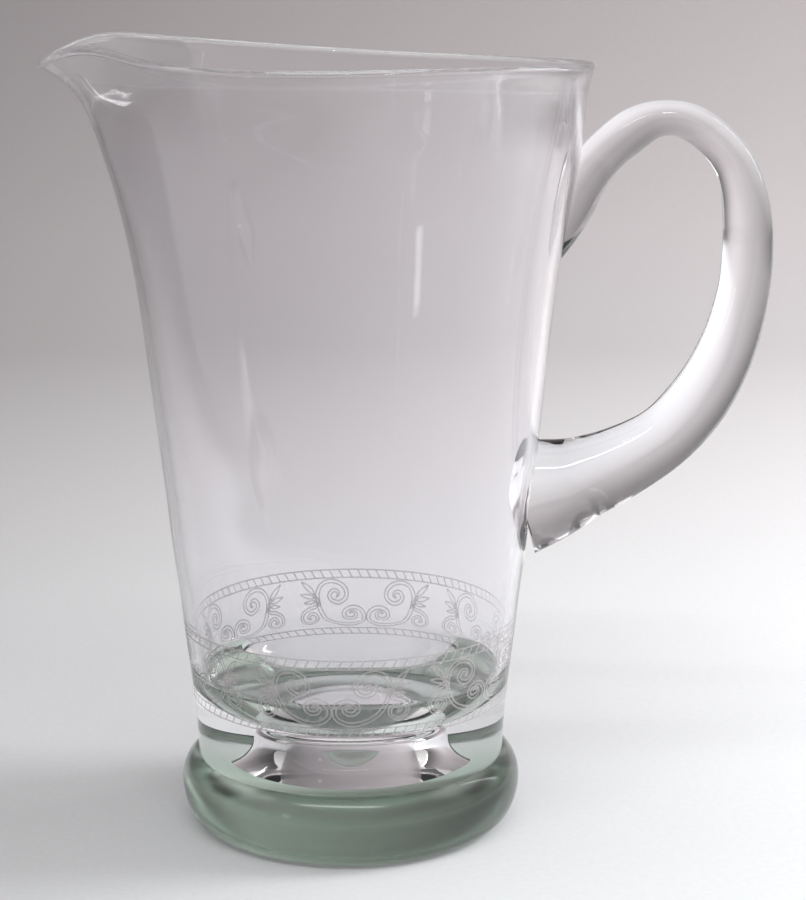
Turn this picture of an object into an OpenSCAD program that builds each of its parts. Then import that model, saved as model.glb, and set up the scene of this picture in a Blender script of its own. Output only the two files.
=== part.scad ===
// Hand blown cocktail pitcher: a clear bowl with a pulled lip, a pale green
// foot and a clear drawn handle. All sizes are in millimetres.
// The jug stands on z = 0 with its axis on Z, the lip along -X and the handle along +X.

/* [Bowl] */
// Height of the rim on the handle side
rim_height = 232; // [180:1:280]
// Outer radius of the wall just below the rim
rim_radius = 72; // [58:0.5:90]
// Outer radius of the wall where it meets the foot
base_radius = 47.3; // [40:0.1:60]
// Wall thickness at the rim
rim_wall = 2.4; // [1.8:0.1:3.5]
// Wall thickness just above the floor
low_wall = 3.4; // [2.5:0.1:5]
// Radius of the melted bead along the rim
rim_bead = 1.7; // [1.4:0.1:2.5]

/* [Lip] */
// How far the lip is pulled out past the round rim
lip_pull = 17.3; // [8:0.1:24]
// How much higher the rim stands beside the lip than at the handle
lip_rise = 8.5; // [0:0.1:16]
// How far the tip of the lip droops below the rim beside it
lip_droop = 8.5; // [0:0.1:14]
// How much lower the front side of the rim is than the back side
front_dip = 2.6; // [0:0.1:5]

/* [Base] */
// Height of the inside floor at its middle
floor_height = 36; // [32:0.5:42]
// Radius of the flat middle of the inside floor
floor_radius = 22; // [14:0.5:30]
// Height above the floor at which the sloping heel runs into the inner wall
heel_height = 13; // [8:0.5:24]
// Height of the flat top of the air bell under the floor
bell_height = 33.5; // [28:0.1:38]
// Radius of the air bell just below its top
bell_radius = 19.3; // [14:0.1:24]
// Radius of the rounded top edge of the air bell
bell_corner = 2.5; // [1:0.1:4]
// Radius of the air bell at its flared brim, where the foot closes it
bell_brim_radius = 24; // [20:0.5:32]
// Height at which the bottom of the bowl sits in the foot
seat_height = 19; // [12:0.5:20]
// How far the bottom of the bowl draws in inside the foot
seat_inset = 2; // [1:0.1:4]

/* [Foot] */
// Height of the foot's upper edge on the wall of the bowl
foot_height = 22; // [20:0.5:26]
// How far the foot swells out past the wall of the bowl
foot_swell = 5.1; // [3:0.1:8]
// Height at which the foot is widest
foot_waist_height = 13; // [8:0.5:16]
// How far the flat face that the jug stands on stays inside the wall's radius
rest_inset = 2.8; // [1:0.1:5]
// Width of the flat face that the jug stands on
rest_width = 6; // [3:0.5:10]
// Depth of the ground recess inside the flat face
recess_depth = 1; // [0.5:0.1:2]

/* [Handle] */
// How far the handle reaches from the axis of the jug
handle_reach = 127.3; // [110:0.5:150]
// Height of the highest point of the handle
handle_top = 220.7; // [200:0.5:228]
// Height at which the lower end of the handle meets the wall
handle_low = 102; // [80:0.5:115]
// Thickness of the rod at the grip
grip_thickness = 15; // [10:0.5:20]
// Gap left for the weld between handle and wall
weld_gap = 0.02; // [0.01:0.01:0.05]

/* [Hidden] */

// Number of facets round the bowl, and the angle of one
sides = 72;
step = 360 / sides;

// Outer wall: share of the height above the foot, share of the flare from base to rim
wall_shares = [
    [0, 0], [0.04, 0.014], [0.09, 0.05], [0.13, 0.089], [0.18, 0.14], [0.24, 0.195],
    [0.32, 0.28], [0.40, 0.35], [0.49, 0.43], [0.585, 0.51], [0.66, 0.575], [0.72, 0.635],
    [0.775, 0.71], [0.84, 0.81], [0.885, 0.872], [0.92, 0.905], [0.945, 0.925],
    [0.965, 0.945], [0.98, 0.97], [0.991, 0.99], [1, 1]
];
// Share of the lip's pull that each height of the wall takes, in the middle of the lip
pull_shares = [
    0, 0, 0, 0, 0, 0, 0, 0, 0.01, 0.03, 0.045, 0.07, 0.09, 0.14, 0.22, 0.31, 0.41,
    0.53, 0.68, 0.84, 1
];
// Half angles over which the pull and the droop of the lip die away
pull_angle = 16;
droop_angle = 11;
// Share of the height above which the rim's rise and fall shape the wall
calm_share = 0.7;

wall_height = rim_height - rim_bead - foot_height;
flare = rim_radius - base_radius;
wall_rings = len(wall_shares);

function clamp01(v) = min(1, max(0, v));
function smooth(v) = let (t = clamp01(v)) t * t * (3 - 2 * t);
// Angle from the middle of the lip, which points along -X
function lip_angle(a) = abs(((a % 360) + 360) % 360 - 180);
function fade(w, half) = exp(-pow(w / half, 2));
// Height of the rim at azimuth a, above its height at the handle
function rim_lift(a) =
    lip_rise * pow((1 - cos(a)) / 2, 2)
    - lip_droop * fade(lip_angle(a), droop_angle)
    - front_dip * max(0, -sin(a)) * pow(1 - cos(a), 2);
// Radius and height of outer wall ring i at azimuth a
function wall_r(i, a) =
    base_radius + flare * wall_shares[i][1]
    + lip_pull * pull_shares[i] * fade(lip_angle(a), pull_angle);
function wall_z(i, a) =
    foot_height + wall_height * wall_shares[i][0]
    + rim_lift(a) * smooth((wall_shares[i][0] - calm_share) / (1 - calm_share));
// Unit vector along the wall in the plane of azimuth a, as [radius, height]
function wall_way(i, a) = let (
        lo = max(0, i - 1), hi = min(wall_rings - 1, i + 1),
        dr = wall_r(hi, a) - wall_r(lo, a), dz = wall_z(hi, a) - wall_z(lo, a),
        size = norm([dr, dz])
    ) [dr / size, dz / size];
// Wall thickness at ring i
function wall_t(i) = rim_wall + (low_wall - rim_wall) * pow(1 - wall_shares[i][0], 2);
// Point of the wall at a depth under its outer face
function wall_point(i, a, depth) = let (way = wall_way(i, a)) [
        wall_r(i, a) - depth * way[1],
        wall_z(i, a) + depth * way[0]
    ];
function place(p, a) = [p[0] * cos(a), p[0] * sin(a), p[1]];

// The melted rim: a bead that swells past both faces of the wall
bead_steps = 5;
function bead_point(k, a) = let (
        last = wall_rings - 1, way = wall_way(last, a),
        turn = 180 * k / bead_steps, mid = wall_point(last, a, rim_wall / 2),
        out = rim_bead * cos(turn), up = rim_bead * sin(turn)
    ) [mid[0] + out * way[1] + up * way[0], mid[1] - out * way[0] + up * way[1]];

// Inside of the base: a heel that slopes from the wall down to the flat middle of the floor,
// as shares of the way out to the wall and of the height up to where the heel begins
heel_shares = [
    [0.99, 0.955], [0.965, 0.905], [0.91, 0.845], [0.81, 0.74], [0.66, 0.585],
    [0.51, 0.43], [0.36, 0.28], [0.23, 0.155], [0.13, 0.07], [0.05, 0.02], [0, 0]
];
heel_top = floor_height + heel_height;
heel_ring = len([for (s = wall_shares) if (foot_height + wall_height * s[0] < heel_top) s]);
heel_radius = wall_point(heel_ring, 0, wall_t(heel_ring))[0];
heel_start = wall_point(heel_ring, 0, wall_t(heel_ring))[1];
function heel_point(s) = [
        floor_radius + (heel_radius - floor_radius) * s[0],
        floor_height + (heel_start - floor_height) * s[1]
    ];

// Air bell closed in between bowl and foot: a rounded top edge, then a brim that flares
corner_steps = 4;
brim_steps = 6;
brim_power_share = 2.2;
brim_top = bell_height - bell_corner;
function corner_point(k) = let (turn = 90 * k / corner_steps) [
        bell_radius - bell_corner * (1 - sin(turn)),
        brim_top + bell_corner * cos(turn)
    ];
function brim_point(k) = let (t = k / brim_steps) [
        bell_radius + (bell_brim_radius - bell_radius) * pow(t, brim_power_share),
        brim_top - (brim_top - seat_height) * t
    ];

// Shoulder of the bowl inside the foot, from its bottom up to the wall
shoulder_steps = 4;
function shoulder_point(k, gap) = let (turn = 90 * k / shoulder_steps) [
        base_radius + gap - seat_inset * (1 - sin(turn)),
        foot_height - (foot_height - seat_height) * cos(turn)
    ];

// One ring of points round the axis at a constant radius and height
function round_ring(p) = [for (j = [0:sides - 1]) place(p, j * step)];

// A closed body whose skin passes through the rings one after another
module skin(rings) {
    n = len(rings[0]);
    last = len(rings) - 1;
    points = [for (ring = rings) for (p = ring) p];
    faces = concat(
        [[for (j = [0:n - 1]) j]],
        [for (i = [0:last - 1]) for (j = [0:n - 1])
            [i * n + j, (i + 1) * n + j, (i + 1) * n + (j + 1) % n]],
        [for (i = [0:last - 1]) for (j = [0:n - 1])
            [i * n + j, (i + 1) * n + (j + 1) % n, i * n + (j + 1) % n]],
        [[for (j = [n - 1:-1:0]) last * n + j]]
    );
    polyhedron(points = points, faces = faces, convexity = 10);
}

// Clear blown bowl: thick base round an air bell, flared wall, beaded rim and pulled lip
module bowl() {
    under = concat(
        [for (k = [0:corner_steps]) round_ring(corner_point(k))],
        [for (k = [1:brim_steps]) round_ring(brim_point(k))],
        [for (k = [0:shoulder_steps - 1]) round_ring(shoulder_point(k, 0))]
    );
    outside = [for (i = [0:wall_rings - 1])
        [for (j = [0:sides - 1]) place([wall_r(i, j * step), wall_z(i, j * step)], j * step)]];
    bead = [for (k = [0:bead_steps])
        [for (j = [0:sides - 1]) place(bead_point(k, j * step), j * step)]];
    inside = [for (i = [wall_rings - 1:-1:heel_ring])
        [for (j = [0:sides - 1]) place(wall_point(i, j * step, wall_t(i)), j * step)]];
    heel = [for (s = heel_shares) round_ring(heel_point(s))];
    color([0.93, 0.94, 0.95, 0.45])
        skin(concat(under, outside, bead, inside, heel));
}

// Section of the foot: a fat dish with a flat face to stand on, a shallow recess inside it,
// and a cup on top that the bottom of the bowl sits in
foot_radius = base_radius + foot_swell;
rest_outer = base_radius - rest_inset;
rest_inner = rest_outer - rest_width;
foot_bulge = foot_radius - rest_outer;
edge_turn = acos((rest_inset + weld_gap) / foot_bulge);
foot_rise = (foot_height - foot_waist_height) / sin(edge_turn);
arc_steps = 24;
foot_outside = [for (k = [0:arc_steps]) let (
        turn = -90 + (90 + edge_turn) * k / arc_steps,
        tall = turn < 0 ? foot_waist_height : foot_rise
    ) [rest_outer + foot_bulge * cos(turn), foot_waist_height + tall * sin(turn)]];
foot_cup = [for (k = [shoulder_steps - 1:-1:0]) shoulder_point(k, weld_gap)];

// Pale green foot, a gather pressed flat under the bowl
module foot() {
    color([0.55, 0.68, 0.60, 0.8])
        rotate_extrude($fn = sides)
            polygon(concat(
                [[0, recess_depth], [rest_inner - recess_depth, recess_depth], [rest_inner, 0]],
                foot_outside, foot_cup, [[0, seat_height]]
            ));
}

// Stations along the middle of the handle, from the tail of the upper joint to the lower pad:
// share of the way from the rim's radius to the reach, share of the height from the lower
// joint to the top, then the half thickness in the plane of the jug and across it, as shares
// of the grip's thickness
handle_shares = [
    [-0.199, 0.615, 0.20, 0.30], [-0.152, 0.666, 0.307, 0.42], [-0.099, 0.729, 0.42, 0.54],
    [-0.045, 0.788, 0.44, 0.60], [0.018, 0.837, 0.44, 0.60], [0.108, 0.883, 0.433, 0.57],
    [0.226, 0.927, 0.43, 0.53], [0.325, 0.950, 0.38, 0.50], [0.427, 0.956, 0.353, 0.49],
    [0.530, 0.946, 0.37, 0.48], [0.633, 0.918, 0.378, 0.48], [0.711, 0.884, 0.385, 0.48],
    [0.779, 0.840, 0.41, 0.48], [0.830, 0.773, 0.455, 0.49], [0.857, 0.695, 0.495, 0.50],
    [0.862, 0.624, 0.51, 0.50], [0.850, 0.531, 0.522, 0.51],
    [0.796, 0.417, 0.56, 0.53], [0.712, 0.318, 0.60, 0.56], [0.590, 0.225, 0.64, 0.60],
    [0.421, 0.142, 0.66, 0.65], [0.193, 0.079, 0.75, 0.72], [-0.011, 0.040, 0.86, 0.82],
    [-0.181, 0.012, 1.05, 0.95], [-0.362, -0.012, 1.20, 1.00]
];
handle_parts = 2;
rod_sides = 20;
handle_last = (len(handle_shares) - 1) * handle_parts;

// Value on a smooth curve through four neighbouring stations
function curve(a, b, c, d, t) =
    b + (c - a) * t / 2 + (2 * a - 5 * b + 4 * c - d) * t * t / 2
    + (3 * b - a - 3 * c + d) * t * t * t / 2;
function station(i) = handle_shares[min(len(handle_shares) - 1, max(0, i))];
function share_at(k) = let (i = floor(k / handle_parts), t = k / handle_parts - i)
    curve(station(i - 1), station(i), station(i + 1), station(i + 2), t);
function handle_mid(k) = let (s = share_at(k)) [
        rim_radius + (handle_reach - rim_radius) * s[0],
        handle_low + (handle_top - handle_low) * s[1]
    ];
function handle_ring(k) = let (
        s = share_at(k), mid = handle_mid(k),
        ahead = handle_mid(min(handle_last, k + 1)), behind = handle_mid(max(0, k - 1)),
        way = (ahead - behind) / norm(ahead - behind)
    ) [for (j = [0:rod_sides - 1]) let (
        turn = 360 * j / rod_sides,
        out = grip_thickness * s[2] * cos(turn), across = grip_thickness * s[3] * sin(turn)
    ) [mid[0] + out * way[1], across, mid[1] - out * way[0]]];

// Solid wedge of the bowl's outer shape on the handle's side, grown by the weld gap
wedge_steps = 9;
wedge_low = handle_low - (handle_top - handle_low) / 3;
wedge_first = len([for (s = wall_shares) if (foot_height + wall_height * s[0] < wedge_low) s]) - 1;
module bowl_wedge() {
    skin([for (i = [wedge_first:wall_rings - 1]) concat(
        [[0, 0, wall_z(i, 0)]],
        [for (j = [-wedge_steps:wedge_steps])
            place([wall_r(i, j * step) + weld_gap, wall_z(i, 0)], j * step)]
    )]);
}

// Clear handle, drawn from a hot rod: a small joint with a hanging tail under the rim
// and a broad pad lower down
module handle() {
    color([0.93, 0.94, 0.95, 0.45])
        difference() {
            skin([for (k = [0:handle_last]) handle_ring(k)]);
            bowl_wedge();
        }
}

bowl();
foot();
handle();
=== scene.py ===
# %% [markdown]
# # A hand blown cocktail pitcher in clear and pale green glass
#
# This lesson dresses a jug whose construction is already fixed in CAD: a clear blown bowl,
# a green foot and a drawn handle. Here each of the three gets a smooth, fine mesh built
# from the same sizes, real refracting glass, and the engraved frieze that runs round the bowl.
# The jug stands on z = 0 with its axis on Z, the lip along -X and the handle along +X.

# %% Load the frame
import math

import bmesh
import bpy
import numpy as np
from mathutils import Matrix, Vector
from mathutils.bvhtree import BVHTree


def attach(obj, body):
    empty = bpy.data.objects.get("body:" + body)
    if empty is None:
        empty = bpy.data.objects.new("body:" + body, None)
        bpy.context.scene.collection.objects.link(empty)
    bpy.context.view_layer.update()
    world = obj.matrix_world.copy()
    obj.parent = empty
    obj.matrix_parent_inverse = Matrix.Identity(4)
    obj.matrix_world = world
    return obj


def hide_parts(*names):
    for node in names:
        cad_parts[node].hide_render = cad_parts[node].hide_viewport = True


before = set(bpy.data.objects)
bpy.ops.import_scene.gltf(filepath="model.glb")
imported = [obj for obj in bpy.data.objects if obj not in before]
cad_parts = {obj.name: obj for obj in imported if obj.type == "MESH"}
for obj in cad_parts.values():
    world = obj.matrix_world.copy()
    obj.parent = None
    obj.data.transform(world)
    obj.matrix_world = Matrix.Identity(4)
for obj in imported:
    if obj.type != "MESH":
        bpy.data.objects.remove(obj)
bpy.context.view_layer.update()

print("CAD nodes:", sorted(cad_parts))

# %% [markdown]
# ## Sizes
#
# Glass shows every flaw in a curve, because light bends at each surface. So the pieces are
# rebuilt as fine meshes, but from the very sizes that the CAD model was made from, in
# millimetres. Blender works in metres, so one factor turns the one into the other.

# %% Sizes shared with the CAD model, in millimetres
MM = 0.001
RIM_HEIGHT = 232
RIM_RADIUS = 72
BASE_RADIUS = 47.3
RIM_WALL = 2.4
LOW_WALL = 3.4
RIM_BEAD = 1.7
LIP_PULL = 17.3
LIP_RISE = 8.5
LIP_DROOP = 8.5
FRONT_DIP = 2.6
FLOOR_HEIGHT = 36
FLOOR_RADIUS = 22
HEEL_HEIGHT = 13
BELL_HEIGHT = 33.5
BELL_RADIUS = 19.3
BELL_CORNER = 2.5
BELL_BRIM_RADIUS = 24
SEAT_HEIGHT = 19
SEAT_INSET = 2
FOOT_HEIGHT = 22
FOOT_RADIUS = 52.4
FOOT_WAIST_HEIGHT = 13
REST_OUTER_RADIUS = 44.5
REST_INNER_RADIUS = 38.5
RECESS_DEPTH = 1
HANDLE_REACH = 127.3
HANDLE_TOP = 220.7
HANDLE_LOW = 102
GRIP_THICKNESS = 15
WELD_GAP = 0.02
WALL_HEIGHT = RIM_HEIGHT - RIM_BEAD - FOOT_HEIGHT
FLARE = RIM_RADIUS - BASE_RADIUS

# %% [markdown]
# ## The wall of the bowl
#
# A blown wall has no straight lines: it swells, flares and curls out at the lip. It could be
# sculpted, but a table of shares and one smooth curve through them keeps it true to the CAD
# model. Each row gives a height, the flare reached there, and how much of the lip's pull it takes.

# %% Outer wall as one smooth curve
WALL_SHARES = np.array([
    (0, 0, 0), (0.04, 0.014, 0), (0.09, 0.05, 0), (0.13, 0.089, 0), (0.18, 0.14, 0),
    (0.24, 0.195, 0), (0.32, 0.28, 0), (0.40, 0.35, 0), (0.49, 0.43, 0.01),
    (0.585, 0.51, 0.03), (0.66, 0.575, 0.045), (0.72, 0.635, 0.07), (0.775, 0.71, 0.09),
    (0.84, 0.81, 0.14), (0.885, 0.872, 0.22), (0.92, 0.905, 0.31), (0.945, 0.925, 0.41),
    (0.965, 0.945, 0.53), (0.98, 0.97, 0.68), (0.991, 0.99, 0.84), (1, 1, 1),
])
PULL_ANGLE = 16
DROOP_ANGLE = 11
CALM_SHARE = 0.7


def curve_value(table, position):
    """Value on a smooth curve through the rows of a table, at a fractional row number."""
    row = int(min(max(math.floor(position), 0), len(table) - 2))
    t = position - row
    a, b, c, d = (table[min(max(row + k, 0), len(table) - 1)] for k in (-1, 0, 1, 2))
    return (b + (c - a) * t / 2 + (2 * a - 5 * b + 4 * c - d) * t * t / 2
            + (3 * b - a - 3 * c + d) * t ** 3 / 2)


def smooth_step(value):
    t = min(1.0, max(0.0, value))
    return t * t * (3 - 2 * t)


def fade(angle, half):
    return math.exp(-(angle / half) ** 2)


def lip_angle(azimuth):
    return abs(azimuth % 360 - 180)


def rim_lift(azimuth):
    """How far the rim stands above its height at the handle, in mm."""
    turn = math.radians(azimuth)
    return (LIP_RISE * ((1 - math.cos(turn)) / 2) ** 2
            - LIP_DROOP * fade(lip_angle(azimuth), DROOP_ANGLE)
            - FRONT_DIP * max(0.0, -math.sin(turn)) * (1 - math.cos(turn)) ** 2)


def wall_rz(shares, azimuth):
    """Radius and height of the outer wall, in mm, for one row of the wall table."""
    height, flare, pull = shares
    radius = BASE_RADIUS + FLARE * flare + LIP_PULL * pull * fade(lip_angle(azimuth), PULL_ANGLE)
    level = smooth_step((height - CALM_SHARE) / (1 - CALM_SHARE))
    return np.array([radius, FOOT_HEIGHT + WALL_HEIGHT * height + rim_lift(azimuth) * level])


def wall_outline(azimuth, parts):
    """Points of the outer wall at one azimuth, with the direction along the wall at each."""
    rows = np.linspace(0, len(WALL_SHARES) - 1, (len(WALL_SHARES) - 1) * parts + 1)
    points = np.array([wall_rz(curve_value(WALL_SHARES, row), azimuth) for row in rows])
    way = np.gradient(points, axis=0)
    way /= np.linalg.norm(way, axis=1)[:, None]
    return rows, points, way


def wall_thickness(shares):
    return RIM_WALL + (LOW_WALL - RIM_WALL) * (1 - shares[0]) ** 2


print("wall radius at the rim:", wall_rz(WALL_SHARES[-1], 0)[0], "mm")

# %% [markdown]
# ## A skin through rings
#
# Every piece of this jug is a body of revolution or a bent rod, so each is a stack of rings
# with faces between them. The ring lists are worked out in mm; the mesh is closed at both ends
# with a fan. A face attribute says how much light passes straight through each face: all of it
# where two pieces are melted together, and none on an ordinary surface.

# %% Mesh helpers
def skin(name, rings, melted=()):
    """A closed mesh through rings of points in mm. melted holds spans: first ring, last ring
    and the share of light that passes straight through the faces between them."""
    count = len(rings[0])
    points = np.concatenate([np.asarray(ring, dtype=float) for ring in rings])
    low = len(points)
    ends = [np.mean(rings[0], axis=0), np.mean(rings[-1], axis=0)]
    points = np.vstack([points, ends]) * MM
    faces = []
    marks = []
    for i in range(len(rings) - 1):
        mark = max((share for first, last, share in melted if first <= i < last), default=0.0)
        for j in range(count):
            k = (j + 1) % count
            a, b = i * count, (i + 1) * count
            faces.append((a + j, a + k, b + k, b + j))
            marks.append(mark)
    top = (len(rings) - 1) * count
    for j in range(count):
        k = (j + 1) % count
        faces.append((low, k, j))
        faces.append((low + 1, top + j, top + k))
        marks += [0.0, 0.0]
    mesh = bpy.data.meshes.new(name)
    mesh.from_pydata([tuple(p) for p in points], [], faces)
    mesh.update()
    attribute = mesh.attributes.new("melted", "FLOAT", "FACE")
    attribute.data.foreach_set("value", np.array(marks, dtype=np.float32))
    return mesh


def finish_mesh(mesh, sharp_degrees=40):
    """Turns the faces outwards and shades them smoothly, apart from true edges."""
    work = bmesh.new()
    work.from_mesh(mesh)
    bmesh.ops.recalc_face_normals(work, faces=work.faces)
    work.to_mesh(mesh)
    work.free()
    mesh.polygons.foreach_set("use_smooth", [True] * len(mesh.polygons))
    mesh.set_sharp_from_angle(angle=math.radians(sharp_degrees))


def add_piece(name, mesh, slot, *nodes):
    piece = bpy.data.objects.new(name, mesh)
    bpy.context.collection.objects.link(piece)
    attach(piece, "root")
    if nodes:
        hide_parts(*nodes)
    print(name, len(mesh.polygons), "faces")
    return piece


def place(point, azimuth):
    turn = math.radians(azimuth)
    return (point[0] * math.cos(turn), point[0] * math.sin(turn), point[1])


# %% [markdown]
# ## The handle
#
# The maker drops a hot rod of glass on the wall low down, draws it out and up, and sticks its
# end under the rim, where a small tail hangs back. It could be a bevelled curve, but the rod
# changes both its thickness and its width on the way, so it is lofted from elliptical rings
# along a smooth line. A boolean then cuts it to the wall.

# %% Handle stations: reach, height, half thickness in the plane of the jug and across it
HANDLE_SHARES = np.array([
    (-0.199, 0.615, 0.20, 0.30), (-0.152, 0.666, 0.307, 0.42), (-0.099, 0.729, 0.42, 0.54),
    (-0.045, 0.788, 0.44, 0.60), (0.018, 0.837, 0.44, 0.60), (0.108, 0.883, 0.433, 0.57),
    (0.226, 0.927, 0.43, 0.53), (0.325, 0.950, 0.38, 0.50), (0.427, 0.956, 0.353, 0.49),
    (0.530, 0.946, 0.37, 0.48), (0.633, 0.918, 0.378, 0.48), (0.711, 0.884, 0.385, 0.48),
    (0.779, 0.840, 0.41, 0.48), (0.830, 0.773, 0.455, 0.49), (0.857, 0.695, 0.495, 0.50),
    (0.862, 0.624, 0.51, 0.50), (0.850, 0.531, 0.522, 0.51),
    (0.796, 0.417, 0.56, 0.53), (0.712, 0.318, 0.60, 0.56), (0.590, 0.225, 0.64, 0.60),
    (0.421, 0.142, 0.66, 0.65), (0.193, 0.079, 0.75, 0.72), (-0.011, 0.040, 0.86, 0.82),
    (-0.181, 0.012, 1.05, 0.95), (-0.362, -0.012, 1.20, 1.00),
])
HANDLE_PARTS = 5
ROD_SIDES = 48


def handle_rings():
    rows = np.linspace(0, len(HANDLE_SHARES) - 1, (len(HANDLE_SHARES) - 1) * HANDLE_PARTS + 1)
    shares = np.array([curve_value(HANDLE_SHARES, row) for row in rows])
    middle = np.stack([
        RIM_RADIUS + (HANDLE_REACH - RIM_RADIUS) * shares[:, 0],
        HANDLE_LOW + (HANDLE_TOP - HANDLE_LOW) * shares[:, 1],
    ], axis=1)
    way = np.gradient(middle, axis=0)
    way /= np.linalg.norm(way, axis=1)[:, None]
    turns = np.linspace(0, 2 * math.pi, ROD_SIDES, endpoint=False)
    rings = []
    for share, mid, along in zip(shares, middle, way):
        out = GRIP_THICKNESS * share[2] * np.cos(turns)
        across = GRIP_THICKNESS * share[3] * np.sin(turns)
        rings.append(np.stack([mid[0] + out * along[1], across, mid[1] - out * along[0]], axis=1))
    return rings


rod_mesh = skin("handle_rod", handle_rings())
finish_mesh(rod_mesh)
rod_tree = BVHTree.FromPolygons(
    [v.co.copy() for v in rod_mesh.vertices], [tuple(p.vertices) for p in rod_mesh.polygons])
print("handle rod:", len(rod_mesh.polygons), "faces")

# %% [markdown]
# ## The bowl
#
# The bowl is one closed skin: over the top of the air bell and down its side, out across the
# bottom that sits in the foot, up the wall, round the melted rim bead, down the inside, down
# the sloping heel and across the floor. Through that slope the far side of the base stays
# clear; a rounder heel would bend the light so far that it turns into a dark band.
# Round the handle the mesh is finer, because the edge of each weld has to look clean there.
#
# Light that enters the rim is piped down inside the wall, off one side and the other, for more
# bounces than a renderer follows, and would end as black. So the bead and the wall just under
# it let a small share of the light straight through, and less and less further down.

# %% Bowl
BOWL_PARTS = 5
BEAD_STEPS = 12
BEAD_CLEAR = 0.32
LEAK_DEPTH = 24
HEEL_PARTS = 5
HEEL_SHARES = np.array([
    (1, 1), (0.99, 0.955), (0.965, 0.905), (0.91, 0.845), (0.81, 0.74), (0.66, 0.585),
    (0.51, 0.43), (0.36, 0.28), (0.23, 0.155), (0.13, 0.07), (0.05, 0.02), (0, 0),
])
CORNER_STEPS = 10
BRIM_STEPS = 14
BRIM_POWER = 2.2
SHOULDER_STEPS = 8
FINE_DEGREES = 0.75
COARSE_DEGREES = 1.5
FINE_REACH = 24


def bowl_azimuths():
    fine = np.arange(-FINE_REACH, FINE_REACH, FINE_DEGREES)
    coarse = np.arange(FINE_REACH, 360 - FINE_REACH, COARSE_DEGREES)
    return np.concatenate([fine, coarse])


def bell_outline():
    """The air bell from the edge of its flat top down to its flared brim."""
    brim_top = BELL_HEIGHT - BELL_CORNER
    points = []
    for k in range(CORNER_STEPS + 1):
        turn = math.pi / 2 * k / CORNER_STEPS
        points.append((BELL_RADIUS - BELL_CORNER * (1 - math.sin(turn)),
                       brim_top + BELL_CORNER * math.cos(turn)))
    for k in range(1, BRIM_STEPS + 1):
        t = k / BRIM_STEPS
        points.append((BELL_RADIUS + (BELL_BRIM_RADIUS - BELL_RADIUS) * t ** BRIM_POWER,
                       brim_top - (brim_top - SEAT_HEIGHT) * t))
    return points


def shoulder_outline(gap):
    """The rounded edge of the bowl inside the foot, from its bottom up to the wall."""
    turns = [math.pi / 2 * k / SHOULDER_STEPS for k in range(SHOULDER_STEPS)]
    return [(BASE_RADIUS + gap - SEAT_INSET * (1 - math.sin(turn)),
             FOOT_HEIGHT - gap - (FOOT_HEIGHT - SEAT_HEIGHT) * math.cos(turn)) for turn in turns]


def heel_outline(radius, start):
    """From the inner wall down the sloping heel and over the flat floor of the jug."""
    rows = np.linspace(0, len(HEEL_SHARES) - 1, (len(HEEL_SHARES) - 1) * HEEL_PARTS + 1)
    shares = np.array([curve_value(HEEL_SHARES, row) for row in rows])
    points = np.stack([FLOOR_RADIUS + (radius - FLOOR_RADIUS) * shares[:, 0],
                       FLOOR_HEIGHT + (start - FLOOR_HEIGHT) * shares[:, 1]], axis=1)
    return np.vstack([points, (0.5 * FLOOR_RADIUS, FLOOR_HEIGHT)])


def bowl_profile(azimuth):
    """Radius and height of every ring at one azimuth, and the span that is melted to the foot."""
    bell = bell_outline()
    under = bell + shoulder_outline(0)
    rows, outside, way = wall_outline(azimuth, BOWL_PARTS)
    inward = np.stack([-way[:, 1], way[:, 0]], axis=1)
    depth = np.array([wall_thickness(curve_value(WALL_SHARES, row)) for row in rows])
    inside = outside + inward * depth[:, None]
    middle = outside[-1] + inward[-1] * RIM_WALL / 2
    bead = [middle - inward[-1] * RIM_BEAD * math.cos(math.pi * k / BEAD_STEPS)
            + way[-1] * RIM_BEAD * math.sin(math.pi * k / BEAD_STEPS)
            for k in range(BEAD_STEPS + 1)]
    heights = FOOT_HEIGHT + WALL_HEIGHT * WALL_SHARES[:, 0]
    heel_row = BOWL_PARTS * int(np.argmax(heights >= FLOOR_HEIGHT + HEEL_HEIGHT))
    heel = heel_outline(*inside[heel_row])
    profile = np.concatenate([under, outside, bead, inside[-1:heel_row:-1], heel])
    return profile, (len(bell) - 1, len(under))


azimuths = bowl_azimuths()
profiles = []
for azimuth in azimuths:
    profile, seat = bowl_profile(azimuth)
    profiles.append(profile)
leaks = [(i, i + 1, BEAD_CLEAR * (1 - max(0, RIM_HEIGHT - height) / LEAK_DEPTH))
         for i, (_, height) in enumerate(profiles[0]) if height > RIM_HEIGHT - LEAK_DEPTH]
bowl_rings = [[place(profiles[j][i], azimuths[j]) for j in range(len(azimuths))]
              for i in range(len(profiles[0]))]
bowl_mesh = skin("bowl", bowl_rings, melted=[(*seat, 1.0), *leaks])
finish_mesh(bowl_mesh)

# %% [markdown]
# Where the handle is melted on, there is no surface between the two pieces of glass: light
# goes straight through. Each point of the bowl gets its depth inside the rod as an attribute,
# and the glass material turns fully clear where that depth is positive.

# %% Weld patches on the bowl
SEARCH_REACH = 10 * MM


def depth_in_rod(point):
    near, normal, _, distance = rod_tree.find_nearest(point, SEARCH_REACH)
    if near is None:
        return -SEARCH_REACH
    return distance if (point - near).dot(normal) < 0 else -distance


weld = bowl_mesh.attributes.new("weld", "FLOAT", "POINT")
outer_first = seat[1]
outer_last = outer_first + (len(WALL_SHARES) - 1) * BOWL_PARTS
depths = np.full(len(bowl_mesh.vertices), -SEARCH_REACH, dtype=np.float32)
for i in range(outer_first, outer_last):
    for j in range(int(2 * FINE_REACH / FINE_DEGREES)):
        index = i * len(azimuths) + j
        depths[index] = depth_in_rod(bowl_mesh.vertices[index].co)
weld.data.foreach_set("value", depths)
bowl = add_piece("bowl_clear_glass", bowl_mesh, "clear_glass", "bowl")
print("points under the handle:", int((depths > 0).sum()))

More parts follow.
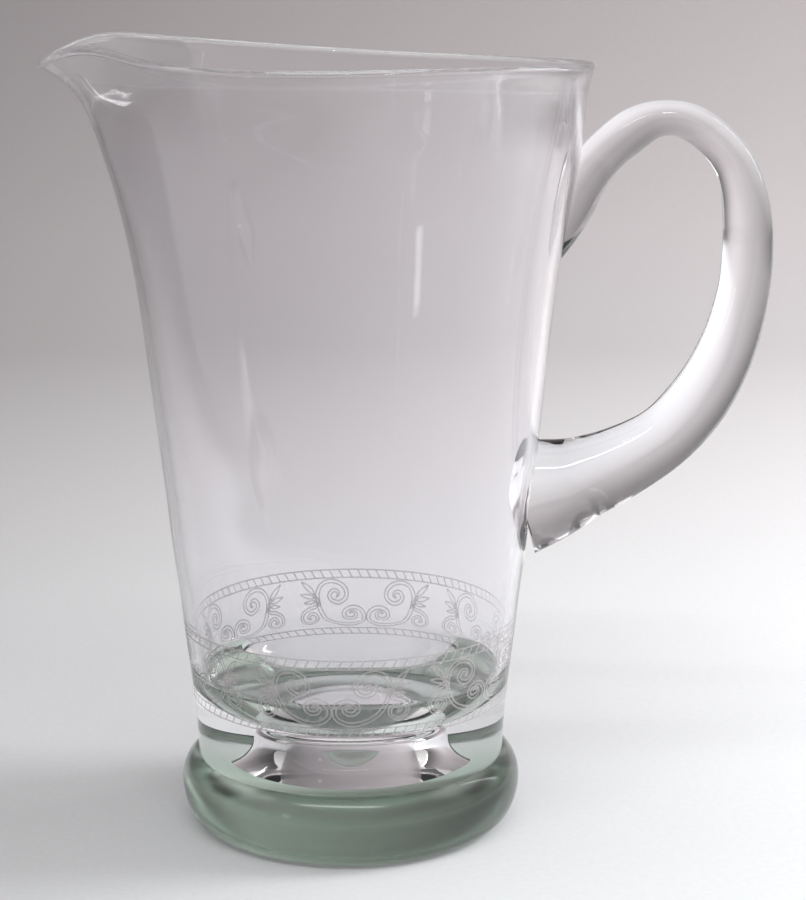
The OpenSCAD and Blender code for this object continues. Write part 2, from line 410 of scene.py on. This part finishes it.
# %% [markdown]
# The rod still runs on into the bowl. A solid wedge with the bowl's outer shape cuts it off
# just short of the wall. The faces that the cut leaves lie along the wall, and they are marked
# as melted in the same way.

# %% Cut the handle to the wall
WEDGE_REACH = 40
WEDGE_STEP = 0.75
WEDGE_FIRST_ROW = 4


def wedge_rings():
    """Solid wedge of the bowl's outer shape, grown by the weld gap."""
    turns = np.arange(-WEDGE_REACH, WEDGE_REACH + WEDGE_STEP, WEDGE_STEP)
    outlines = [wall_outline(azimuth, BOWL_PARTS)[1] for azimuth in turns]
    rings = []
    for i in range(WEDGE_FIRST_ROW * BOWL_PARTS, len(outlines[0])):
        height = outlines[len(turns) // 2][i][1]
        ring = [(0.0, 0.0, height)]
        for azimuth, outline in zip(turns, outlines):
            ring.append(place((outline[i][0] + WELD_GAP, height), azimuth))
        rings.append(ring)
    return rings


wedge_mesh = skin("wedge", wedge_rings())
finish_mesh(wedge_mesh)
wedge = bpy.data.objects.new("wedge", wedge_mesh)
bpy.context.collection.objects.link(wedge)
rod = bpy.data.objects.new("rod", rod_mesh)
bpy.context.collection.objects.link(rod)
cut = rod.modifiers.new("cut", "BOOLEAN")
cut.operation = "DIFFERENCE"
cut.solver = "EXACT"
cut.object = wedge
shaped = rod.evaluated_get(bpy.context.evaluated_depsgraph_get())
handle_mesh = bpy.data.meshes.new_from_object(shaped)
handle_mesh.name = "handle"
bpy.data.objects.remove(rod)
bpy.data.objects.remove(wedge)
wall_line = wall_outline(0, BOWL_PARTS)[1]
marks = []
seam = 3 * WELD_GAP
for polygon in handle_mesh.polygons:
    spots = [handle_mesh.vertices[v].co / MM for v in polygon.vertices]
    gaps = [math.hypot(p.x, p.y) - np.interp(p.z, wall_line[:, 1], wall_line[:, 0]) for p in spots]
    marks.append(1.0 if max(abs(gap) for gap in gaps) < seam else 0.0)
handle_mesh.attributes["melted"].data.foreach_set("value", np.array(marks, dtype=np.float32))
finish_mesh(handle_mesh)
handle = add_piece("handle_clear_glass", handle_mesh, "handle_glass", "handle")
print("melted faces on the handle:", int(sum(marks)))

# %% [markdown]
# ## The foot
#
# A gather of green glass is dropped under the bowl and pressed flat, so it shuts the air bell
# in. Its section is a fat, soft dish: a flat face to stand on with a shallow recess inside it,
# and a cup on top that the bowl sits in. Only the disc right under the air bell is a real
# surface; the rest of the cup is melted to the bowl.

# %% Foot
FOOT_STEPS = 40
FOOT_SIDES = 240


def foot_profile():
    """Radius and height of every ring of the foot, and the ring span melted to the bowl."""
    bulge = FOOT_RADIUS - REST_OUTER_RADIUS
    edge_turn = math.acos((BASE_RADIUS + WELD_GAP - REST_OUTER_RADIUS) / bulge)
    rise = (FOOT_HEIGHT - FOOT_WAIST_HEIGHT) / math.sin(edge_turn)
    points = [(REST_INNER_RADIUS - RECESS_DEPTH, RECESS_DEPTH), (REST_INNER_RADIUS, 0)]
    for k in range(FOOT_STEPS + 1):
        turn = -math.pi / 2 + (math.pi / 2 + edge_turn) * k / FOOT_STEPS
        tall = FOOT_WAIST_HEIGHT if turn < 0 else rise
        points.append((REST_OUTER_RADIUS + bulge * math.cos(turn),
                       FOOT_WAIST_HEIGHT + tall * math.sin(turn)))
    edge = len(points) - 1
    points += shoulder_outline(WELD_GAP)[::-1]
    points.append((BELL_BRIM_RADIUS, SEAT_HEIGHT - WELD_GAP))
    return points, (edge, len(points) - 1)


profile, cup = foot_profile()
foot_rings = [[place(point, 360 * j / FOOT_SIDES) for j in range(FOOT_SIDES)] for point in profile]
foot_mesh = skin("foot", foot_rings, melted=[(*cup, 1.0)])
finish_mesh(foot_mesh)
foot = add_piece("foot_green_glass", foot_mesh, "green_glass", "foot")

# %% [markdown]
# ## The engraved frieze
#
# Two rope borders run round the bowl with a scroll frieze between them. Such lines are often
# scratched through wax with a needle and frosted with acid. Here each is half a mm wide.
# They could be a texture, but a drawn line stays sharp at any distance, so every line is a
# thin ribbon of mesh that lies on the glass. The scroll is drawn once, as half a unit in mm:
# across from the middle of the unit and up from the bottom of the frieze.

# %% Lines of the frieze
LINE_WIDTH = 0.48
LINE_LIFT = 0.03
STROKE_GAP = 1.15
CURL_GAP = 0.9
STEM_GAP = 0.7
STROKE_CLOSING = 7
STROKE_END = 0.25
LEAF_POINTS = 9
LEAF_BELLY = 0.8
TURN_POINTS = 361
FRIEZE_LOW = 44
FRIEZE_MID = 52.5
UNIT_COUNT = 6
FRONT_UNIT_AZIMUTH = -96.4
SCROLL = [
    (-10.5, 11.4), (-9.6, 12.2), (-10.0, 13.3), (-11.6, 13.5), (-12.7, 12.0), (-11.9, 10.4),
    (-9.4, 9.6), (-7.1, 11.2), (-7.1, 13.8), (-9.3, 16.0), (-12.7, 16.7), (-15.6, 15.4),
    (-16.9, 12.5), (-16.5, 9.0), (-15.6, 6.6), (-14.2, 4.3), (-12.0, 2.5), (-8.8, 1.2),
    (-5.5, 0.8), (-2.8, 1.5), (-1.0, 3.2), (-0.8, 5.5), (-2.0, 7.2), (-4.4, 8.0),
    (-7.0, 7.2), (-7.7, 5.4), (-6.3, 4.1), (-4.2, 4.4), (-3.6, 5.8), (-5.0, 6.6), (-5.9, 5.8),
]
SIDE_CURL = [
    (-16.6, 10.0), (-17.8, 8.4), (-20.0, 7.9), (-22.3, 6.2), (-22.2, 3.4), (-19.8, 1.9),
    (-17.4, 3.2), (-17.3, 5.4), (-19.2, 6.2), (-20.3, 4.8), (-19.2, 4.2),
]
STEM = [(-16.2, 8.6), (-17.0, 10.6), (-18.2, 12.6)]
LEAVES = [((-17.9, 12.6), (-22.3, 17.0), 1.5), ((-18.0, 11.4), (-22.9, 12.8), 1.4),
          ((-17.5, 10.2), (-21.7, 9.9), 1.0)]
BORDERS = [(40.7, 43.3), (61.8, 64.5)]
TICK_SPACING = 3.2
TICK_LEAN = 1.5

wall_heights = wall_line[:, 1]
wall_radii = wall_line[:, 0]


def wall_radius(height):
    return float(np.interp(height, wall_heights, wall_radii))


def smooth_line(points, parts):
    table = np.array(points, dtype=float)
    rows = np.linspace(0, len(table) - 1, (len(table) - 1) * parts + 1)
    return np.array([curve_value(table, row) for row in rows])


def offset_line(line, amount):
    """The line moved sideways by an amount at each point."""
    way = np.gradient(line, axis=0)
    way /= np.linalg.norm(way, axis=1)[:, None]
    return line + np.stack([-way[:, 1], way[:, 0]], axis=1) * np.asarray(amount).reshape(-1, 1)


def double_line(points, gap=STROKE_GAP, parts=5):
    """Two lines side by side that close up towards both ends, as a scroll stroke does."""
    line = smooth_line(points, parts)
    along = np.linspace(0, 1, len(line))
    swell = np.minimum(1, np.minimum(along, 1 - along) * STROKE_CLOSING + STROKE_END)
    return [offset_line(line, gap / 2 * swell), offset_line(line, -gap / 2 * swell)]


def leaf_lines(base, tip, width):
    base, tip = np.array(base), np.array(tip)
    along = np.linspace(0, 1, LEAF_POINTS)[:, None]
    spine = base + (tip - base) * along
    return [offset_line(spine, side * width / 2 * np.sin(np.pi * along[:, 0] ** LEAF_BELLY))
            for side in (-1, 1)]


half_unit = double_line(SCROLL) + double_line(SIDE_CURL, CURL_GAP) + double_line(STEM, STEM_GAP, 4)
for base, tip, width in LEAVES:
    half_unit += leaf_lines(base, tip, width)
unit = half_unit + [line * np.array([-1, 1]) for line in half_unit]
print("lines in one unit of the frieze:", len(unit))

# %% [markdown]
# Each line now becomes a ribbon. Its length across is turned into an angle round the bowl, and
# its height gives the radius of the wall there, plus a hair, so that it lies on the glass.

# %% Ribbons on the glass
ribbon_points = []
ribbon_faces = []


def add_ribbon(line, middle_azimuth, radius):
    """Lays a flat line, given in mm along and up, on the outside of the bowl."""
    sides = [offset_line(line, LINE_WIDTH / 2), offset_line(line, -LINE_WIDTH / 2)]
    first = len(ribbon_points)
    for left, right in zip(*sides):
        for across, height in (left, right):
            azimuth = middle_azimuth + math.degrees(across / radius)
            ribbon_points.append(place((wall_radius(height) + LINE_LIFT, height), azimuth))
    for i in range(len(line) - 1):
        a = first + 2 * i
        ribbon_faces.append((a, a + 1, a + 3, a + 2))


frieze_radius = wall_radius(FRIEZE_MID)
for k in range(UNIT_COUNT):
    for line in unit:
        add_ribbon(line + np.array([0, FRIEZE_LOW]), FRONT_UNIT_AZIMUTH + 360 / UNIT_COUNT * k,
                   frieze_radius)
for low, high in BORDERS:
    radius = wall_radius((low + high) / 2)
    for height in (low, high):
        turn = np.linspace(0, 2 * math.pi * radius, TURN_POINTS)
        add_ribbon(np.stack([turn, np.full_like(turn, height)], axis=1), 0, radius)
    count = round(2 * math.pi * radius / TICK_SPACING)
    for k in range(count):
        tick = np.array([(-TICK_LEAN / 2, low), (0, (low + high) / 2), (TICK_LEAN / 2, high)])
        add_ribbon(tick, 360 / count * k, radius)
frieze_mesh = bpy.data.meshes.new("frieze")
frieze_mesh.from_pydata([tuple(c * MM for c in p) for p in ribbon_points], [], ribbon_faces)
frieze_mesh.update()
frieze = add_piece("engraved_frieze", frieze_mesh, "clear_glass")

# %% [markdown]
# ## Colours and nodes
#
# Colours are written as sRGB hex, as a picker shows them, and one function turns them to the
# linear values that shaders want. One small function adds a node with its settings and links.

# %% Colour and node helpers
def linear(hex_colour):
    channels = [int(hex_colour[i:i + 2], 16) / 255 for i in (1, 3, 5)]
    return tuple(c / 12.92 if c <= 0.04045 else ((c + 0.055) / 1.055) ** 2.4 for c in channels) + (1,)


def add_node(tree, kind, settings=None, links=None):
    """Adds a node. A setting is a socket's value or a property; a link goes into a socket."""
    node = tree.nodes.new(kind)
    for key, value in (settings or {}).items():
        if isinstance(key, int) or key in node.inputs:
            node.inputs[key].default_value = value
        else:
            setattr(node, key, value)
    for key, source in (links or {}).items():
        tree.links.new(source, node.inputs[key])
    return node


def new_material(name):
    material = bpy.data.materials.new(name)
    material.use_nodes = True
    material.node_tree.nodes.clear()
    return material, material.node_tree


# %% [markdown]
# ## Soda-lime glass, blown and fire polished
#
# Glass that was shaped by breath and never touched a mould is smooth but not flat: it holds
# faint waves about 15 mm long, and fine cords drawn along the wall. Both come from noise that
# barely tilts the surface. Where two pieces are melted together the shader mixes to plain
# transparency, so light passes as if no surface were there.

# %% Clear glass
def melt_mask(tree):
    melted = add_node(tree, "ShaderNodeAttribute", {"attribute_name": "melted"})
    weld_depth = add_node(tree, "ShaderNodeAttribute", {"attribute_name": "weld"})
    inside_rod = add_node(tree, "ShaderNodeMath", {"operation": "GREATER_THAN", 1: 0.0},
                          {0: weld_depth.outputs["Fac"]})
    return add_node(tree, "ShaderNodeMath", {"operation": "MAXIMUM"},
                    {0: melted.outputs["Fac"], 1: inside_rod.outputs[0]})


def blown_surface(tree, wave_mm, wave_depth_mm, cord_mm, cord_depth_mm):
    """Normals of a hand blown surface: broad waves and fine cords drawn up the wall."""
    place_node = add_node(tree, "ShaderNodeTexCoord")
    waves = add_node(tree, "ShaderNodeTexNoise",
                     {"Scale": 1 / (wave_mm * MM), "Detail": 1.0, "Roughness": 0.4},
                     {"Vector": place_node.outputs["Object"]})
    drawn = add_node(tree, "ShaderNodeMapping", {"Scale": (1, 1, 0.06)},
                     {"Vector": place_node.outputs["Object"]})
    cords = add_node(tree, "ShaderNodeTexNoise",
                     {"Scale": 1 / (cord_mm * MM), "Detail": 1.0, "Roughness": 0.4},
                     {"Vector": drawn.outputs["Vector"]})
    first = add_node(tree, "ShaderNodeBump", {"Strength": 1.0, "Distance": wave_depth_mm * MM},
                     {"Height": waves.outputs["Fac"]})
    return add_node(tree, "ShaderNodeBump", {"Strength": 1.0, "Distance": cord_depth_mm * MM},
                    {"Height": cords.outputs["Fac"], "Normal": first.outputs["Normal"]})


def finish_glass(tree, glass, mask):
    gone = add_node(tree, "ShaderNodeBsdfTransparent")
    mixed = add_node(tree, "ShaderNodeMixShader", None,
                     {0: mask.outputs[0], 1: glass.outputs[0], 2: gone.outputs[0]})
    return add_node(tree, "ShaderNodeOutputMaterial", None, {"Surface": mixed.outputs[0]})


def glass_material(name, colour, roughness, surface_mm):
    """Glass with a hand blown surface. Returns the material, its tree and its output node."""
    material, tree = new_material(name)
    surface = blown_surface(tree, *surface_mm)
    glass = add_node(tree, "ShaderNodeBsdfPrincipled",
                     {"Base Color": linear(colour), "Roughness": roughness, "IOR": 1.5,
                      "Transmission Weight": 1.0},
                     {"Normal": surface.outputs["Normal"]})
    return material, tree, finish_glass(tree, glass, melt_mask(tree))


clear_material, _, _ = glass_material("blown_clear_soda_lime_glass", "#FBFAFC", 0.0,
                                      (15, 0.02, 4, 0.004))
handle_material, _, _ = glass_material("drawn_clear_soda_lime_glass", "#FBFAFC", 0.0,
                                       (11, 0.03, 5, 0.004))
bowl.data.materials.append(clear_material)
handle.data.materials.clear()
handle.data.materials.append(handle_material)
print("bowl and handle glass ready")

# %% [markdown]
# ## Green glass
#
# Iron in the sand tints cheap glass sea green. The tint isn't on the surface: light loses its
# red on the way through, so thin edges stay pale and the thick ring gets dark. A volume that
# absorbs does just that. The foot looks soft and murky in the photo, where the bowl is crisp.
# Why it does is not known, and a little roughness on its surface gives the same look.

# %% Green glass
green_material, tree, output = glass_material("sea_green_bottle_glass", "#FAFCFA", 0.15,
                                              (14, 0.05, 6, 0.006))
absorb = add_node(tree, "ShaderNodeVolumeAbsorption", {"Color": linear("#A6C8B2"), "Density": 14.5})
tree.links.new(absorb.outputs["Volume"], output.inputs["Volume"])
foot.data.materials.append(green_material)
print("foot glass ready")

# %% [markdown]
# ## Frosted engraving
#
# Acid leaves a line matt: it scatters light both ways and lets some through. So a frosted line
# looks a little darker than a bright wall and lighter than a dark one.

# %% Frosted lines
frost_material, tree = new_material("acid_frosted_engraved_line")
spot = add_node(tree, "ShaderNodeTexCoord")
grain = add_node(tree, "ShaderNodeTexNoise", {"Scale": 1 / (0.8 * MM), "Detail": 2.0},
                 {"Vector": spot.outputs["Object"]})
cover = add_node(tree, "ShaderNodeMapRange", {"To Min": 0.55, "To Max": 0.8},
                 {"Value": grain.outputs["Fac"]})
clear = add_node(tree, "ShaderNodeBsdfTransparent")
matt = add_node(tree, "ShaderNodeBsdfDiffuse", {"Color": linear("#F4EEF0")})
through = add_node(tree, "ShaderNodeBsdfTranslucent", {"Color": linear("#C9C1C3")})
scatter = add_node(tree, "ShaderNodeMixShader", {0: 0.5},
                   {1: matt.outputs[0], 2: through.outputs[0]})
mixed = add_node(tree, "ShaderNodeMixShader", None,
                 {0: cover.outputs["Result"], 1: clear.outputs[0], 2: scatter.outputs[0]})
add_node(tree, "ShaderNodeOutputMaterial", None, {"Surface": mixed.outputs[0]})
frieze.data.materials.append(frost_material)

# %% [markdown]
# ## Paper sweep
#
# Clear glass shows nothing but what stands round it. A sheet of pale paper lies under the jug
# and curves up behind it. The fall-off of the light is painted into its colour: a ramp paints
# shade towards the back, a fan of straight lines from the front paints it lighter to the right
# and darker to the left, and both far edges are painted darker, so that the curved glass never
# shows a hard edge.

# %% Paper sweep
SWEEP_FRONT = -1.5
SWEEP_BACK = 0.9
SWEEP_BEND = 0.6
SWEEP_HALF_WIDTH = 2.5
SWEEP_TOP = 3
BEND_STEPS = 32
SWEEP_LEVEL = -0.05 * MM
sweep_line = [(SWEEP_FRONT, SWEEP_LEVEL), (SWEEP_BACK, SWEEP_LEVEL)]
for k in range(1, BEND_STEPS + 1):
    turn = math.pi / 2 * k / BEND_STEPS
    sweep_line.append((SWEEP_BACK + SWEEP_BEND * math.sin(turn), SWEEP_BEND * (1 - math.cos(turn))))
sweep_line.append((SWEEP_BACK + SWEEP_BEND, SWEEP_TOP))
sweep_points = [(x, y, z) for x in (-SWEEP_HALF_WIDTH, SWEEP_HALF_WIDTH) for y, z in sweep_line]
count = len(sweep_line)
sweep_mesh = bpy.data.meshes.new("paper_sweep")
sweep_mesh.from_pydata(sweep_points, [], [(i, i + 1, count + i + 1, count + i)
                                          for i in range(count - 1)])
sweep_mesh.polygons.foreach_set("use_smooth", [True] * len(sweep_mesh.polygons))
sweep = bpy.data.objects.new("paper_sweep", sweep_mesh)
bpy.context.collection.objects.link(sweep)
# Painted shade on the paper: its colour darkens from the front towards the back and up the curve of
# the sweep.
PAPER_PAINTED_SHADE_TONES = [(0.0, "#F0F3F6"), (1.0, "#B4AEB0"), (0.22, "#EDEFF2"), (0.40, "#E6E5E7"),
               (0.60, "#DCDADC"), (0.80, "#D1CDCF")]
paper_material, tree = new_material("matt_white_paper_with_painted_light")
spot = add_node(tree, "ShaderNodeTexCoord")
fibres = add_node(tree, "ShaderNodeTexNoise", {"Scale": 1 / (2 * MM), "Detail": 3.0},
                  {"Vector": spot.outputs["Object"]})
tooth = add_node(tree, "ShaderNodeBump", {"Strength": 0.1, "Distance": 0.1 * MM},
                 {"Height": fibres.outputs["Fac"]})
axes = add_node(tree, "ShaderNodeSeparateXYZ", None, {0: spot.outputs["Object"]})
# A ramp of painted shade along the paper, from front to back.
away = add_node(tree, "ShaderNodeMapRange", {"From Min": -0.2, "From Max": 1.5},
                {"Value": axes.outputs["Y"]})
painted_shade_ramp = add_node(tree, "ShaderNodeValToRGB", None, {"Fac": away.outputs["Result"]})
for stop, (position, colour) in enumerate(PAPER_PAINTED_SHADE_TONES):
    mark = painted_shade_ramp.color_ramp.elements[stop] if stop < 2 else painted_shade_ramp.color_ramp.elements.new(position)
    mark.position = position
    mark.color = linear(colour)
# Painted light across the paper: a fan of lines from the front makes it lighter to the right and
# paints shade to the left.
spread = add_node(tree, "ShaderNodeMath", {"operation": "MULTIPLY_ADD", 1: 0.38, 2: 0.62},
                  {0: axes.outputs["Y"]})
side = add_node(tree, "ShaderNodeMath", {"operation": "DIVIDE"},
                {0: axes.outputs["X"], 1: spread.outputs[0]})
light = add_node(tree, "ShaderNodeMapRange", {"From Min": -0.8, "From Max": 0.6, "To Min": 0.40,
                                              "To Max": 1.27}, {"Value": side.outputs[0]})
mottle = add_node(tree, "ShaderNodeMapRange", {"From Min": 0.3, "From Max": 0.7, "To Min": 0.98,
                                               "To Max": 1.02}, {"Value": fibres.outputs["Fac"]})
# The painted side light times the fibre mottle of the paper.
grain = add_node(tree, "ShaderNodeMath", {"operation": "MULTIPLY"},
                 {0: light.outputs["Result"], 1: mottle.outputs["Result"]})
# Painted shade: both far edges of the paper are darker.
off_middle = add_node(tree, "ShaderNodeMath", {"operation": "ABSOLUTE"}, {0: axes.outputs["X"]})
edge = add_node(tree, "ShaderNodeMapRange", {"interpolation_type": "SMOOTHSTEP", "From Min": 0.7,
                                             "From Max": 2.3, "To Min": 1.0, "To Max": 0.35},
                {"Value": off_middle.outputs[0]})
lit = add_node(tree, "ShaderNodeMath", {"operation": "MULTIPLY"},
               {0: grain.outputs[0], 1: edge.outputs["Result"]})
# The paper's colour: the ramp of painted shade scaled by the painted light and the painted edge
# shade.
paper_colour_with_painted_light = add_node(tree, "ShaderNodeVectorMath", {"operation": "SCALE"},
                {0: painted_shade_ramp.outputs["Color"], "Scale": lit.outputs[0]})
paper = add_node(tree, "ShaderNodeBsdfPrincipled", {"Roughness": 0.9},
                 {"Base Color": paper_colour_with_painted_light.outputs[0], "Normal": tooth.outputs["Normal"]})
add_node(tree, "ShaderNodeOutputMaterial", None, {"Surface": paper.outputs[0]})
sweep_mesh.materials.append(paper_material)

# %% [markdown]
# ## Lamps and world
#
# A large soft window stands to the right and casts the shadow. Its own mirror image would cover
# the lip with white patches, so glass doesn't show it, and thin lamps stand in: they leave the
# narrow streaks and bright rim lines that glass has in a room with few openings. The world
# gives the rest, brighter towards the window and darker near the horizon.

# %% Lamps and world
world = bpy.data.worlds.new("soft_room")
bpy.context.scene.world = world
world.use_nodes = True
tree = world.node_tree
look = add_node(tree, "ShaderNodeTexCoord")
toward = add_node(tree, "ShaderNodeVectorMath", {"operation": "DOT_PRODUCT", 1: (0.55, 0.45, 0.70)},
                  {0: look.outputs["Generated"]})
room = add_node(tree, "ShaderNodeMapRange", {"From Min": -0.8, "From Max": 0.95, "To Min": 0.28,
                                             "To Max": 0.98}, {"Value": toward.outputs["Value"]})
height = add_node(tree, "ShaderNodeSeparateXYZ", None, {0: look.outputs["Generated"]})
horizon = add_node(tree, "ShaderNodeMapRange", {"From Min": -0.1, "From Max": 0.45, "To Min": 0.6,
                                                "To Max": 1.0}, {"Value": height.outputs["Z"]})
strength = add_node(tree, "ShaderNodeMath", {"operation": "MULTIPLY"},
                    {0: room.outputs["Result"], 1: horizon.outputs["Result"]})
background = tree.nodes["Background"]
background.inputs["Color"].default_value = linear("#FFFCFA")
tree.links.new(strength.outputs[0], background.inputs["Strength"])


def add_lamp(name, spot, target, size, energy, mirrored=True):
    data = bpy.data.lights.new(name, "AREA")
    data.shape = "RECTANGLE"
    data.size, data.size_y = size
    data.energy = energy
    lamp = bpy.data.objects.new(name, data)
    bpy.context.collection.objects.link(lamp)
    lamp.location = spot
    lamp.rotation_euler = (Vector(target) - lamp.location).to_track_quat("-Z", "Y").to_euler()
    lamp.visible_glossy = lamp.visible_transmission = mirrored


add_lamp("window_lamp", (1.25, 0.12, 0.8), (0, 0, 0.1), (0.5, 0.85), 12.2, mirrored=False)
add_lamp("window_gap", (1.1, 0.6, 0.75), (0, 0, 0.12), (0.03, 0.8), 1)
add_lamp("door_gap", (-0.84, -0.88, 0.32), (0, 0, 0.18), (0.08, 0.22), 0.16)
add_lamp("ceiling_tube", (-0.15, -0.9, 1.6), (0, 0, 0.2), (1.4, 0.04), 7)

# %% [markdown]
# ## Camera
#
# The camera was found from the ellipses of rim, borders and foot. It stands 645 mm in front of
# the axis, a little above the rim, and looks slightly down.

# %% Camera
camera_data = bpy.data.cameras.new("camera")
camera_data.sensor_width = 36
camera_data.lens = 86.6
camera = bpy.data.objects.new("camera", camera_data)
bpy.context.collection.objects.link(camera)
camera.location = (0, -0.645, 0.2503)
camera.rotation_euler = (math.radians(78.202), 0, math.radians(-1.448))
bpy.context.scene.camera = camera
bpy.context.scene.view_settings.view_transform = "Standard"
